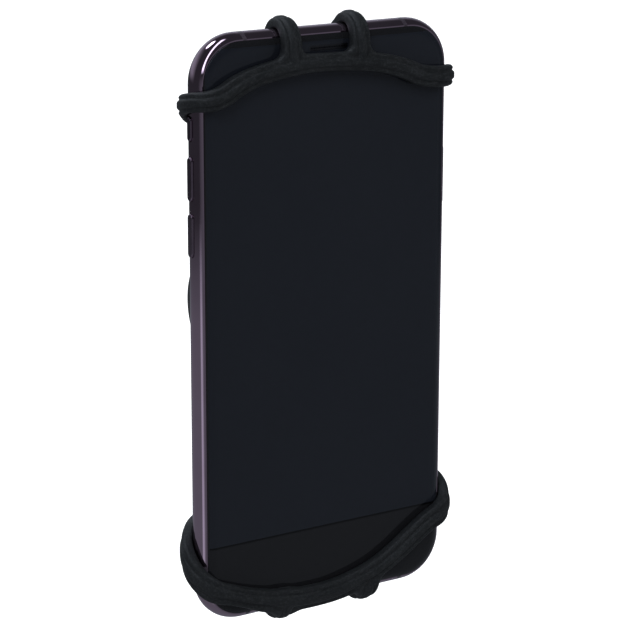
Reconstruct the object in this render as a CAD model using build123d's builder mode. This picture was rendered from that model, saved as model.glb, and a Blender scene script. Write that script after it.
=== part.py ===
from build123d import *
import math
import os

os.makedirs("parts", exist_ok=True)

# Phone holder for a handlebar: a silicone web stretched round a handset, on a click swivel,
# on a hinged ring clamp. The origin is the centre of the clamp's bore. +X runs along the
# handlebar, the screen faces -Y, and +Z is up along the handset. All sizes are in mm.

# Driving dimensions -------------------------------------------------------------------
# Handset, a generic 5.8-inch-class body. Its centre stands a little above the swivel axis.
PHONE_W = 70.9
PHONE_H = 143.6
PHONE_T = 7.7
PHONE_CORNER_R = 11.5
PHONE_EDGE_R = 3.8
PHONE_BACK_Y = -28.9
PHONE_Z = 4.0
GLASS_T = 0.8
FRAME_WALL = 2.4
MIDPLATE_DEPTH = 2.0
MIDPLATE_T = 0.6

# Silicone web
STRAP_T = 3.2
STRAP_W = 5.3
ARCH_W = 4.6
ARM_W = 6.5
WEB_GAP = 0.1
HUB_R = 26.0
HUB_T = 2.2
HUB_BORE_R = 12.0
HUB_HOLE_FIT = 0.15

# Swivel, from the handset back towards the clamp
PAD_T = 0.8
PLATE_R = 22.0
PLATE_T = 1.6
ROTOR_R = 20.0
ROTOR_T = 5.0
ROTOR_FLOOR_T = 2.7
ROTOR_CAVITY_R = 11.5
POST_R = 6.0
RUNNING_GAP = 0.05
SCREW_CLEAR = 0.1
SWIVEL_GAP = 0.2
TURRET_R = 17.0
ROTOR_SCREW_R = 16.0
ROTOR_BOLT_R = 1.25
ROTOR_BOLT_COUNT = 4
ROTOR_BOLT_START = 45
DETENT_R = 14.2
DETENT_COUNT = 24
BALL_R = 1.0

# Clamp for a 22.2 mm handlebar
BAR_R = 11.1
LINER_T = 1.5
RING_WALL = 3.0
CLAMP_W = 19.0
SPLIT_GAP = 1.0
PIN_R = 1.5
PIN_Z = 18.2
KNUCKLE_R = 3.3
EAR_W = 16.0
EAR_T = 6.0
EAR_BOTTOM_Z = -29.5
SCREW_R = 2.5
SCREW_Z = -21.5
KNOB_R = 7.0
KNOB_L = 10.0

# Worked-out positions along Y ---------------------------------------------------------
PHONE_FRONT_Y = PHONE_BACK_Y - PHONE_T
PLATE_Y = PHONE_BACK_Y + PAD_T
HUB_Y = PLATE_Y + PLATE_T
ROTOR_Y = HUB_Y + HUB_T
ROTOR_BACK_Y = ROTOR_Y + ROTOR_T
TURRET_Y = ROTOR_BACK_Y + SWIVEL_GAP
ROTOR_FLOOR_Y = ROTOR_BACK_Y - ROTOR_FLOOR_T
LINER_R = BAR_R + LINER_T
RING_R = LINER_R + RING_WALL
SPLIT = SPLIT_GAP / 2


# Helpers ------------------------------------------------------------------------------
def plane_y(y, z=0.0):
    """A plane across the Y axis. Its sketch runs in X and Z, and minus amounts go to +Y."""
    return Plane(origin=(0, y, z), x_dir=(1, 0, 0), z_dir=(0, -1, 0))


def phone_plane(depth):
    """The plane at a depth behind the handset's front face, centred on the handset."""
    return plane_y(PHONE_FRONT_Y + depth, PHONE_Z)


def save(piece, label):
    """Label a finished piece and write it."""
    piece.part.label = label
    export_step(piece.part, f"parts/{label}.step")


def leg(start, end, width):
    """A straight strap with round ends, in the current sketch."""
    run = Vector(*end) - Vector(*start)
    middle = ((start[0] + end[0]) / 2, (start[1] + end[1]) / 2)
    with Locations(middle):
        SlotCenterToCenter(run.length, width, rotation=math.degrees(math.atan2(run.Y, run.X)))


def bow(start, middle, end, width):
    """A strap along the arc through three points, in the current sketch."""
    SlotArc(Edge.make_three_point_arc(Vector(*start), Vector(*middle), Vector(*end)), width)


def phone_envelope(grow):
    """The handset's rounded block, grown outward by the same distance everywhere."""
    with BuildPart() as block:
        with BuildSketch(phone_plane(-grow)):
            RectangleRounded(PHONE_W + 2 * grow, PHONE_H + 2 * grow, PHONE_CORNER_R + grow)
        extrude(amount=-(PHONE_T + 2 * grow))
        rims = block.faces().filter_by(Plane.XZ).edges()
        fillet(rims, PHONE_EDGE_R + grow)
    return block.part


def slab(depth, thickness):
    """A block that covers the whole handset between two depths."""
    with BuildPart() as block:
        with BuildSketch(phone_plane(depth)):
            Rectangle(2 * PHONE_W, 2 * PHONE_H)
        extrude(amount=-thickness)
    return block.part


# Handset: glass, frame and what they hold ---------------------------------------------
POCKET_W = PHONE_W - 2 * FRAME_WALL
POCKET_H = PHONE_H - 2 * FRAME_WALL
POCKET_R = PHONE_CORNER_R - FRAME_WALL
FRAME_T = PHONE_T - 2 * GLASS_T
REAR_POCKET_DEPTH = MIDPLATE_DEPTH + MIDPLATE_T
PANEL_FIT = 0.1

BUTTON_DEPTH = 3.95
BUTTON_T = 2.1
BUTTON_PROUD = 0.5
BUTTON_FIT = 0.08
BUTTON_LIP = 0.2
BUTTON_LIP_T = 0.7
BUTTON_EDGE = 0.3
VOLUME_L = 10.4
SIDE_L = 15.0
VOLUME_UP_Z = 38.4
VOLUME_DOWN_Z = 25.0
SIDE_Z = 32.2
SWITCH_Z = 50.2
SWITCH_L = 5.6
SWITCH_SLOT_L = 6.2
SWITCH_LIP_L = 7.4
SWITCH_T = 1.6
SWITCH_TRAVEL = 0.8
SWITCH_DEPTH = 3.9
SWITCH_PROUD = 0.5
SWITCH_EDGE = 0.2

BAND_W = 1.1
BAND_X = 22.5
BAND_Z = 56.8
EARPIECE_Z = 66.9
EARPIECE_L = 11.0
EARPIECE_W = 1.3
CAMERA_X = 24.0
CAMERA_Z = 64.2
CAMERA_L = 14.0
CAMERA_W = 7.0
CAMERA_T = 1.0
LENS_R = 2.2
LENS_PITCH = 3.4
FLASH_X = 13.0
FLASH_R = 1.4
PORT_L = 9.0
PORT_T = 2.8
PORT_DEPTH = 7.0
PORT_WALL = 0.3
SPEAKER_R = 0.55
SPEAKER_PITCH = 2.2
SPEAKER_COUNT = 6
SPEAKER_X = 15.5
CASE_SCREW_R = 0.75
CASE_SCREW_X = 6.4
CASE_SCREW_L = 1.5

phone_block = phone_envelope(0)
side_plane = Plane(origin=(0, 0, PHONE_Z), x_dir=(0, 1, 0), z_dir=(1, 0, 0))
bottom_plane = Plane(origin=(0, 0, PHONE_Z - PHONE_H / 2), x_dir=(1, 0, 0), z_dir=(0, 0, -1))


def side_slot(z, length, thickness, depth=BUTTON_DEPTH):
    """An upright slot outline for a side button, in a sketch on side_plane."""
    with Locations((PHONE_FRONT_Y + depth, z)):
        SlotOverall(length, thickness, rotation=90)


with BuildPart() as frame_blank:
    add(phone_block)
    add(slab(GLASS_T, FRAME_T), mode=Mode.INTERSECT)
    with BuildSketch(phone_plane(GLASS_T)):
        RectangleRounded(POCKET_W, POCKET_H, POCKET_R)
    extrude(amount=-(MIDPLATE_DEPTH - GLASS_T), mode=Mode.SUBTRACT)
    with BuildSketch(phone_plane(REAR_POCKET_DEPTH)):
        RectangleRounded(POCKET_W, POCKET_H, POCKET_R)
    extrude(amount=-FRAME_T, mode=Mode.SUBTRACT)

# The frame is cut through by the antenna bands, the buttons, the port and the speaker holes.
MID_DEPTH_Y = PHONE_FRONT_Y + PHONE_T / 2
with BuildPart() as phone_frame:
    add(frame_blank.part)
    with BuildSketch(phone_plane(GLASS_T)):
        with GridLocations(2 * BAND_X, PHONE_H, 2, 2):
            Rectangle(BAND_W, 2 * FRAME_WALL)
        with GridLocations(PHONE_W, 2 * BAND_Z, 2, 2):
            Rectangle(2 * FRAME_WALL, BAND_W)
    extrude(amount=-FRAME_T, mode=Mode.SUBTRACT)

with BuildPart() as antenna_bands:
    add(frame_blank.part)
    add(phone_frame.part, mode=Mode.SUBTRACT)

with BuildPart() as drilled_frame:
    add(phone_frame.part)
    with BuildSketch(side_plane):
        side_slot(VOLUME_UP_Z, VOLUME_L + 2 * BUTTON_FIT, BUTTON_T + 2 * BUTTON_FIT)
        side_slot(VOLUME_DOWN_Z, VOLUME_L + 2 * BUTTON_FIT, BUTTON_T + 2 * BUTTON_FIT)
        side_slot(SWITCH_Z, SWITCH_SLOT_L, SWITCH_T + SWITCH_TRAVEL + 2 * BUTTON_FIT,
                  SWITCH_DEPTH + SWITCH_TRAVEL / 2)
    extrude(amount=-PHONE_W, mode=Mode.SUBTRACT)
    with BuildSketch(side_plane):
        side_slot(SIDE_Z, SIDE_L + 2 * BUTTON_FIT, BUTTON_T + 2 * BUTTON_FIT)
    extrude(amount=PHONE_W, mode=Mode.SUBTRACT)
    with BuildSketch(bottom_plane):
        with Locations((0, -MID_DEPTH_Y)):
            SlotOverall(PORT_L, PORT_T)
    extrude(amount=-(PORT_DEPTH + PANEL_FIT), mode=Mode.SUBTRACT)
    with BuildSketch(bottom_plane):
        with Locations((-SPEAKER_X, -MID_DEPTH_Y), (SPEAKER_X, -MID_DEPTH_Y)):
            with GridLocations(SPEAKER_PITCH, 0, SPEAKER_COUNT, 1):
                Circle(SPEAKER_R)
    extrude(amount=-2 * FRAME_WALL, mode=Mode.SUBTRACT)
    with BuildSketch(bottom_plane):
        with Locations((-CASE_SCREW_X, -MID_DEPTH_Y), (CASE_SCREW_X, -MID_DEPTH_Y)):
            Circle(CASE_SCREW_R)
    extrude(amount=-CASE_SCREW_L, mode=Mode.SUBTRACT)
save(drilled_frame, "phone_frame")
save(antenna_bands, "antenna_bands")

# The front glass sits just inside the frame's front edge, with a rounded rim of its own.
GLASS_INSET = 0.3
GLASS_RIM_R = 0.15
EDGE_START = PHONE_W / 2 - PHONE_EDGE_R
GLASS_SEAT_X = EDGE_START + math.sqrt(PHONE_EDGE_R**2 - (PHONE_EDGE_R - GLASS_T) ** 2)
GLASS_CUT = PHONE_W / 2 - GLASS_SEAT_X + GLASS_INSET
GLASS_RIM_X = PHONE_W / 2 - GLASS_CUT - EDGE_START
GLASS_RIM_DEPTH = PHONE_EDGE_R - math.sqrt(PHONE_EDGE_R**2 - GLASS_RIM_X**2)
RIM_SPAN = 0.01
with BuildPart() as front_glass:
    add(phone_block)
    with BuildSketch(phone_plane(0)):
        RectangleRounded(PHONE_W - 2 * GLASS_CUT, PHONE_H - 2 * GLASS_CUT, PHONE_CORNER_R - GLASS_CUT)
    extrude(amount=-GLASS_T, mode=Mode.INTERSECT)
    rim_y = PHONE_FRONT_Y + GLASS_RIM_DEPTH
    fillet(front_glass.edges().filter_by_position(Axis.Y, rim_y - RIM_SPAN, rim_y + RIM_SPAN), GLASS_RIM_R)
    with BuildSketch(phone_plane(0)):
        with Locations((0, EARPIECE_Z)):
            SlotOverall(EARPIECE_L, EARPIECE_W)
    extrude(amount=-GLASS_T, mode=Mode.SUBTRACT)
save(front_glass, "front_glass")

GRILLE_T = 0.5
GRILLE_RECESS = 0.25
GRILLE_HOLE_R = 0.2
GRILLE_PITCH = 0.7
GRILLE_COUNT = 14
with BuildPart() as earpiece_grille:
    with BuildSketch(phone_plane(GRILLE_RECESS)):
        with Locations((0, EARPIECE_Z)):
            SlotOverall(EARPIECE_L - PANEL_FIT, EARPIECE_W - PANEL_FIT)
            with GridLocations(GRILLE_PITCH, 0, GRILLE_COUNT, 1):
                Circle(GRILLE_HOLE_R, mode=Mode.SUBTRACT)
    extrude(amount=-GRILLE_T)
save(earpiece_grille, "earpiece_grille")

with BuildPart() as display_panel:
    with BuildSketch(phone_plane(GLASS_T)):
        RectangleRounded(POCKET_W - PANEL_FIT, POCKET_H - PANEL_FIT, POCKET_R)
    extrude(amount=-(MIDPLATE_DEPTH - GLASS_T - PANEL_FIT))
save(display_panel, "display_panel")

BACK_GLASS_DEPTH = PHONE_T - GLASS_T
with BuildPart() as back_glass:
    add(phone_block)
    add(slab(BACK_GLASS_DEPTH, GLASS_T), mode=Mode.INTERSECT)
    with BuildSketch(phone_plane(BACK_GLASS_DEPTH)):
        with Locations((CAMERA_X, CAMERA_Z)):
            SlotOverall(CAMERA_L, CAMERA_W)
        with Locations((FLASH_X, CAMERA_Z)):
            Circle(FLASH_R)
    extrude(amount=-GLASS_T, mode=Mode.SUBTRACT)
save(back_glass, "back_glass")

WINDOW_T = 0.5
with BuildPart() as camera_window:
    with BuildSketch(phone_plane(PHONE_T - WINDOW_T)):
        with Locations((CAMERA_X, CAMERA_Z)):
            SlotOverall(CAMERA_L - PANEL_FIT, CAMERA_W - PANEL_FIT)
    extrude(amount=-WINDOW_T)
save(camera_window, "camera_window")

# Each lens is a barrel behind the window with a dished front element.
LENS_T = 2.0
LENS_BOWL_R = 3.0
LENS_DISH = 0.6
lens_sites = [(CAMERA_X - LENS_PITCH, CAMERA_Z), (CAMERA_X + LENS_PITCH, CAMERA_Z)]
with BuildPart() as camera_lenses:
    with BuildSketch(phone_plane(PHONE_T - WINDOW_T - LENS_T)):
        with Locations(lens_sites):
            Circle(LENS_R)
    extrude(amount=-LENS_T)
    for site in lens_sites:
        bowl_y = PHONE_BACK_Y - WINDOW_T + LENS_BOWL_R - LENS_DISH
        with Locations((site[0], bowl_y, site[1] + PHONE_Z)):
            Sphere(LENS_BOWL_R, mode=Mode.SUBTRACT)
save(camera_lenses, "camera_lenses")

with BuildPart() as flash_lens:
    with BuildSketch(phone_plane(PHONE_T - CAMERA_T)):
        with Locations((FLASH_X, CAMERA_Z)):
            Circle(FLASH_R - PANEL_FIT / 2)
    extrude(amount=-CAMERA_T)
save(flash_lens, "flash_lens")

BATTERY_W = 36.0
BATTERY_H = 92.0
BATTERY_T = 3.0
BATTERY_X = -10.0
BATTERY_Z = -8.0
BATTERY_CORNER_R = 2.0
BATTERY_EDGE_R = 0.8
with BuildPart() as battery:
    with BuildSketch(phone_plane(REAR_POCKET_DEPTH)):
        with Locations((BATTERY_X, BATTERY_Z)):
            RectangleRounded(BATTERY_W, BATTERY_H, BATTERY_CORNER_R)
    extrude(amount=-BATTERY_T)
    fillet(battery.faces().sort_by(Axis.Y)[-1].edges(), BATTERY_EDGE_R)
save(battery, "battery")

# The board runs up beside the battery and carries three shield cans.
BOARD_X = 21.0
BOARD_Z = -4.0
BOARD_W = 18.0
BOARD_H = 104.0
BOARD_T = 0.8
CAN_W = 15.0
CAN_H = 26.0
CAN_T = 1.3
CAN_PITCH = 32.0
CAN_COUNT = 3
CAN_CORNER_R = 1.0
with BuildPart() as main_board:
    with BuildSketch(phone_plane(REAR_POCKET_DEPTH)):
        with Locations((BOARD_X, BOARD_Z)):
            Rectangle(BOARD_W, BOARD_H)
    extrude(amount=-BOARD_T)
    with BuildSketch(phone_plane(REAR_POCKET_DEPTH + BOARD_T)):
        with Locations((BOARD_X, BOARD_Z)):
            with GridLocations(0, CAN_PITCH, 1, CAN_COUNT):
                RectangleRounded(CAN_W, CAN_H, CAN_CORNER_R)
    extrude(amount=-CAN_T)
save(main_board, "main_board")

# Charging socket: a thin shell with a floor and a contact tongue.
PORT_FLOOR_T = 1.0
TONGUE_W = 6.6
TONGUE_T = 0.7
with BuildPart() as charge_port:
    with BuildSketch(bottom_plane):
        with Locations((0, -MID_DEPTH_Y)):
            SlotOverall(PORT_L - PANEL_FIT, PORT_T - PANEL_FIT)
    extrude(amount=-PORT_DEPTH)
    with BuildSketch(bottom_plane):
        with Locations((0, -MID_DEPTH_Y)):
            SlotOverall(PORT_L - PANEL_FIT - 2 * PORT_WALL, PORT_T - PANEL_FIT - 2 * PORT_WALL)
    extrude(amount=-(PORT_DEPTH - PORT_FLOOR_T), mode=Mode.SUBTRACT)
    with BuildSketch(bottom_plane.offset(-PORT_FLOOR_T)):
        with Locations((0, -MID_DEPTH_Y)):
            Rectangle(TONGUE_W, TONGUE_T)
    extrude(amount=-(PORT_DEPTH - PORT_FLOOR_T))
save(charge_port, "charge_port")

CASE_SCREW_RECESS = 0.2
CASE_SCREW_SOCKET_R = 0.4
with BuildPart() as case_screws:
    with BuildSketch(bottom_plane.offset(-CASE_SCREW_RECESS)):
        with Locations((-CASE_SCREW_X, -MID_DEPTH_Y), (CASE_SCREW_X, -MID_DEPTH_Y)):
            Circle(CASE_SCREW_R)
            RegularPolygon(CASE_SCREW_SOCKET_R, 5, mode=Mode.SUBTRACT)
    extrude(amount=-(CASE_SCREW_L - CASE_SCREW_RECESS))
save(case_screws, "case_screws")


def side_button(z, length, side):
    """A pill cap that stands proud of the frame, with a lip inside that keeps it in."""
    outer_x = side * (PHONE_W / 2 + BUTTON_PROUD)
    lip_x = side * (POCKET_W / 2 - BUTTON_FIT)
    with BuildPart() as button:
        with BuildSketch(side_plane.offset(outer_x)):
            side_slot(z, length, BUTTON_T)
        extrude(amount=lip_x - outer_x)
        top_face = button.faces().sort_by(Axis.X)[0 if side < 0 else -1]
        fillet(top_face.edges(), BUTTON_EDGE)
        with BuildSketch(side_plane.offset(lip_x)):
            side_slot(z, length + 4 * BUTTON_LIP, BUTTON_T + 2 * BUTTON_LIP)
        extrude(amount=-side * BUTTON_LIP_T)
    return button


save(side_button(VOLUME_UP_Z, VOLUME_L, -1), "volume_up_button")
save(side_button(VOLUME_DOWN_Z, VOLUME_L, -1), "volume_down_button")
save(side_button(SIDE_Z, SIDE_L, 1), "side_button")

with BuildPart() as mute_switch:
    with BuildSketch(side_plane.offset(-(PHONE_W / 2 + SWITCH_PROUD))):
        side_slot(SWITCH_Z, SWITCH_L, SWITCH_T, SWITCH_DEPTH)
    extrude(amount=FRAME_WALL + SWITCH_PROUD + BUTTON_FIT)
    fillet(mute_switch.faces().sort_by(Axis.X)[0].edges(), SWITCH_EDGE)
    with BuildSketch(side_plane.offset(-(POCKET_W / 2 - BUTTON_FIT))):
        side_slot(SWITCH_Z, SWITCH_LIP_L, SWITCH_T + PANEL_FIT, SWITCH_DEPTH)
    extrude(amount=BUTTON_LIP_T)
save(mute_switch, "mute_switch")


# Silicone web -------------------------------------------------------------------------
# A shell that hugs the handset, kept only where a strap runs. Strap routes are in the
# handset's own X and Z, or depth and Z on the flanks.
WEB_FRONT_DEPTH = -(STRAP_T + WEB_GAP)
HALF_DEPTH = PHONE_T / 2
SIDE_X = PHONE_W / 2 + STRAP_T
LOOP_REACH = PHONE_H / 2 + 2 * STRAP_T
TOP_SIDE_Z = 57.8
TOP_CREST = (-2.0, 63.9)
TOP_KINKS = ((-29.0, TOP_SIDE_Z), (25.0, TOP_SIDE_Z))
TOP_LOOPS_X = (-10.8, 8.7)
BOTTOM_ENDS = ((-38.5, -60.0), (33.0, -54.8))
BOTTOM_CREST = (-4.0, -68.4)
BOTTOM_LOOPS_X = (-12.3, 11.8)
FLANK_X = PHONE_W / 2 - PHONE_EDGE_R
ARM_ROOT = (9.0, 13.0)
ARM_FORK = (21.0, 42.0)
TOP_LOOP_Z = 68.0
TOP_BAR_Z = 64.2
TOP_LOOP_ROOT_Z = 63.0
BOTTOM_LOOP_ROOT_Z = -66.0
BOTTOM_LOOP_Z = -67.0
TOP_ARM_END_Z = 55.7
BOTTOM_ARM_ENDS_Z = (-51.0, -45.5)
COLLAR_GAP = 0.3
COLLAR_R = PLATE_R + COLLAR_GAP

outer_shell = phone_envelope(WEB_GAP + STRAP_T)
inner_shell = phone_envelope(WEB_GAP)

with BuildPart() as silicone_web:
    # Front: an arch above the screen and a bow below it, with loops over both ends.
    with BuildSketch(phone_plane(WEB_FRONT_DEPTH)):
        leg((-SIDE_X, TOP_SIDE_Z), TOP_KINKS[0], STRAP_W)
        bow(TOP_KINKS[0], TOP_CREST, TOP_KINKS[1], ARCH_W)
        leg(TOP_KINKS[1], (SIDE_X, TOP_SIDE_Z), STRAP_W)
        leg((TOP_LOOPS_X[0], TOP_BAR_Z), (TOP_LOOPS_X[1], TOP_BAR_Z), ARCH_W)
        bow(BOTTOM_ENDS[0], BOTTOM_CREST, BOTTOM_ENDS[1], STRAP_W)
        leg(BOTTOM_ENDS[1], (SIDE_X, BOTTOM_ENDS[1][1]), STRAP_W)
        for loop_x in TOP_LOOPS_X:
            leg((loop_x, TOP_LOOP_ROOT_Z), (loop_x, LOOP_REACH), STRAP_W)
        for loop_x in BOTTOM_LOOPS_X:
            leg((loop_x, BOTTOM_LOOP_ROOT_Z), (loop_x, -LOOP_REACH), STRAP_W)
    extrude(amount=-(HALF_DEPTH - WEB_FRONT_DEPTH))
    # Back: four arms that fork to the flanks and to the loops.
    with BuildSketch(phone_plane(HALF_DEPTH)):
        arms = zip((-1, 1), TOP_LOOPS_X, BOTTOM_LOOPS_X, BOTTOM_ARM_ENDS_Z)
        for side, top_loop, bottom_loop, bottom_z in arms:
            leg((side * ARM_ROOT[0], ARM_ROOT[1]), (side * ARM_FORK[0], ARM_FORK[1]), ARM_W)
            leg((side * ARM_FORK[0], ARM_FORK[1]), (side * FLANK_X, TOP_ARM_END_Z), STRAP_W)
            leg((side * FLANK_X, TOP_ARM_END_Z), (side * SIDE_X, TOP_ARM_END_Z), STRAP_W)
            leg((side * ARM_FORK[0], ARM_FORK[1]), (top_loop, TOP_LOOP_Z), STRAP_W)
            leg((top_loop, TOP_LOOP_Z), (top_loop, LOOP_REACH), STRAP_W)
            leg((side * ARM_ROOT[0], -ARM_ROOT[1]), (side * ARM_FORK[0], -ARM_FORK[1]), ARM_W)
            leg((side * ARM_FORK[0], -ARM_FORK[1]), (side * FLANK_X, bottom_z), STRAP_W)
            leg((side * FLANK_X, bottom_z), (side * SIDE_X, bottom_z), STRAP_W)
            leg((side * ARM_FORK[0], -ARM_FORK[1]), (bottom_loop, BOTTOM_LOOP_Z), STRAP_W)
            leg((bottom_loop, BOTTOM_LOOP_Z), (bottom_loop, -LOOP_REACH), STRAP_W)
    extrude(amount=-(HALF_DEPTH - WEB_FRONT_DEPTH))
    # Flanks: straps that lean down from the back arms to the front bands.
    for side, front_end, bottom_z in zip((-1, 1), BOTTOM_ENDS, BOTTOM_ARM_ENDS_Z):
        with BuildSketch(side_plane.offset(side * FLANK_X)):
            leg((PHONE_FRONT_Y, TOP_SIDE_Z), (PHONE_BACK_Y, TOP_ARM_END_Z), STRAP_W)
            leg((PHONE_FRONT_Y, front_end[1]), (PHONE_BACK_Y, bottom_z), STRAP_W)
        extrude(amount=side * 4 * STRAP_T)
    add(outer_shell, mode=Mode.INTERSECT)
    # Hub: a collar round the cradle plate, closed behind by the disc that is screwed down.
    with BuildSketch(plane_y(PHONE_BACK_Y + WEB_GAP)):
        Circle(HUB_R)
    extrude(amount=-(ROTOR_Y - PHONE_BACK_Y - WEB_GAP))
    add(inner_shell, mode=Mode.SUBTRACT)
    with BuildSketch(plane_y(PHONE_BACK_Y)):
        Circle(COLLAR_R)
    extrude(amount=-(HUB_Y - PHONE_BACK_Y), mode=Mode.SUBTRACT)
    with BuildSketch(plane_y(HUB_Y)):
        Circle(HUB_BORE_R)
        with PolarLocations(ROTOR_SCREW_R, ROTOR_BOLT_COUNT, start_angle=ROTOR_BOLT_START):
            Circle(ROTOR_BOLT_R + HUB_HOLE_FIT)
    extrude(amount=-HUB_T, mode=Mode.SUBTRACT)
save(silicone_web, "silicone_web")

# Swivel -------------------------------------------------------------------------------
SCREW_HEAD_R = 2.3
SCREW_HEAD_T = 1.2
SCREW_SOCKET_T = 0.9
SCREW_SOCKET_R = 1.0
with BuildPart() as phone_pad:
    with BuildSketch(plane_y(PHONE_BACK_Y)):
        Circle(PLATE_R)
    extrude(amount=-PAD_T)
save(phone_pad, "phone_pad")

with BuildPart() as cradle_plate:
    with BuildSketch(plane_y(PLATE_Y)):
        Circle(PLATE_R)
    extrude(amount=-PLATE_T)
    with Locations(plane_y(PLATE_Y)):
        with PolarLocations(ROTOR_SCREW_R, ROTOR_BOLT_COUNT, start_angle=ROTOR_BOLT_START):
            CounterBoreHole(ROTOR_BOLT_R + RUNNING_GAP, SCREW_HEAD_R + RUNNING_GAP, SCREW_HEAD_T,
                            depth=PLATE_T)
save(cradle_plate, "cradle_plate")

ROTOR_SCREW_L = 7.4
with BuildPart() as rotor_screws:
    with BuildSketch(plane_y(PLATE_Y)):
        with PolarLocations(ROTOR_SCREW_R, ROTOR_BOLT_COUNT, start_angle=ROTOR_BOLT_START):
            Circle(SCREW_HEAD_R)
            RegularPolygon(SCREW_SOCKET_R, 6, mode=Mode.SUBTRACT)
    extrude(amount=-SCREW_HEAD_T)
    with BuildSketch(plane_y(PLATE_Y + SCREW_SOCKET_T)):
        with PolarLocations(ROTOR_SCREW_R, ROTOR_BOLT_COUNT, start_angle=ROTOR_BOLT_START):
            Circle(ROTOR_BOLT_R)
    extrude(amount=-(ROTOR_SCREW_L - SCREW_SOCKET_T))
save(rotor_screws, "rotor_screws")

# The rotor has a grip rim, a cavity for the retaining plate, and a ring of click dimples.
DIMPLE_R = 1.2
DIMPLE_DEPTH = 0.35
GRIP_COUNT = 36
GRIP_R = 0.9
GRIP_OUT = 0.5
ROTOR_EDGE = 0.7
BOLT_END_GAP = 0.2
with BuildPart() as rotor:
    with BuildSketch(plane_y(ROTOR_Y)):
        Circle(ROTOR_R)
    extrude(amount=-ROTOR_T)
    chamfer(rotor.edges().filter_by(GeomType.CIRCLE), ROTOR_EDGE)
    with BuildSketch(plane_y(ROTOR_Y)):
        with PolarLocations(ROTOR_R + GRIP_OUT, GRIP_COUNT):
            Circle(GRIP_R)
    extrude(amount=-ROTOR_T, mode=Mode.SUBTRACT)
    with BuildSketch(plane_y(ROTOR_Y)):
        Circle(ROTOR_CAVITY_R)
    extrude(amount=-(ROTOR_T - ROTOR_FLOOR_T), mode=Mode.SUBTRACT)
    with BuildSketch(plane_y(ROTOR_FLOOR_Y)):
        Circle(POST_R + RUNNING_GAP)
    extrude(amount=-ROTOR_FLOOR_T, mode=Mode.SUBTRACT)
    with BuildSketch(plane_y(ROTOR_Y)):
        with PolarLocations(ROTOR_SCREW_R, ROTOR_BOLT_COUNT, start_angle=ROTOR_BOLT_START):
            Circle(ROTOR_BOLT_R + RUNNING_GAP)
    extrude(amount=-(ROTOR_SCREW_L - PLATE_T - HUB_T + BOLT_END_GAP), mode=Mode.SUBTRACT)
    with Locations(plane_y(ROTOR_BACK_Y + DIMPLE_R - DIMPLE_DEPTH)):
        with PolarLocations(DETENT_R, DETENT_COUNT):
            Sphere(DIMPLE_R, mode=Mode.SUBTRACT)
save(rotor, "rotor")

POST_RISE = 0.4
POST_TOP_Y = ROTOR_FLOOR_Y - POST_RISE
POST_ROOT = 1.0
RETAINER_R = 10.5
RETAINER_T = 0.85
CENTER_SCREW_R = 2.0
CENTER_SCREW_END_Y = -13.3
CENTER_HEAD_R = 3.8
CENTER_HEAD_T = 0.85
CENTER_SOCKET_R = 1.4
CENTER_SOCKET_T = 2.0
GLIDE_IN_R = 7.5
GLIDE_OUT_R = 11.0
GLIDE_SEAT = 0.4

with BuildPart() as friction_washer:
    with BuildSketch(plane_y(POST_TOP_Y)):
        Circle(RETAINER_R)
        Circle(POST_R + SCREW_CLEAR, mode=Mode.SUBTRACT)
    extrude(amount=-(ROTOR_FLOOR_Y - POST_TOP_Y - RUNNING_GAP))
save(friction_washer, "friction_washer")

with BuildPart() as retaining_plate:
    with BuildSketch(plane_y(POST_TOP_Y - RETAINER_T)):
        Circle(RETAINER_R)
        Circle(CENTER_SCREW_R + RUNNING_GAP, mode=Mode.SUBTRACT)
    extrude(amount=-RETAINER_T)
save(retaining_plate, "retaining_plate")

with BuildPart() as center_screw:
    with BuildSketch(plane_y(POST_TOP_Y - RETAINER_T - CENTER_HEAD_T)):
        Circle(CENTER_HEAD_R)
    extrude(amount=-CENTER_HEAD_T)
    with BuildSketch(plane_y(POST_TOP_Y - RETAINER_T)):
        Circle(CENTER_SCREW_R)
    extrude(amount=-(CENTER_SCREW_END_Y - POST_TOP_Y + RETAINER_T))
    with BuildSketch(plane_y(POST_TOP_Y - RETAINER_T - CENTER_HEAD_T)):
        RegularPolygon(CENTER_SOCKET_R, 6)
    extrude(amount=-CENTER_SOCKET_T, mode=Mode.SUBTRACT)
save(center_screw, "center_screw")

with BuildPart() as glide_ring:
    with BuildSketch(plane_y(ROTOR_BACK_Y)):
        Circle(GLIDE_OUT_R)
        Circle(GLIDE_IN_R, mode=Mode.SUBTRACT)
    extrude(amount=-(SWIVEL_GAP + GLIDE_SEAT))
save(glide_ring, "glide_ring")

BALL_DIP = 0.3
BALL_Y = ROTOR_BACK_Y - BALL_DIP + BALL_R
BALL_HOLE_END_Y = -15.4
ball_sites = [(DETENT_R, BALL_Y, 0), (-DETENT_R, BALL_Y, 0)]
with BuildPart() as detent_balls:
    with Locations(ball_sites):
        Sphere(BALL_R)
save(detent_balls, "detent_balls")

SPRING_COIL_R = 0.75
SPRING_WIRE_R = 0.14
SPRING_PITCH = 0.6
SPRING_SEAT = 0.2
spring_start_y = BALL_Y + BALL_R - SPRING_SEAT
spring_length = BALL_HOLE_END_Y - spring_start_y - 2 * SPRING_WIRE_R
with BuildPart() as detent_springs:
    for site_x in (DETENT_R, -DETENT_R):
        with BuildLine() as coil:
            Helix(SPRING_PITCH, spring_length, SPRING_COIL_R,
                  center=(site_x, spring_start_y + SPRING_WIRE_R, 0), direction=(0, 1, 0))
        with BuildSketch(Plane(origin=coil.line @ 0, z_dir=coil.line % 0)):
            Circle(SPRING_WIRE_R)
        sweep(path=coil.line)
save(detent_springs, "detent_springs")

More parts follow.
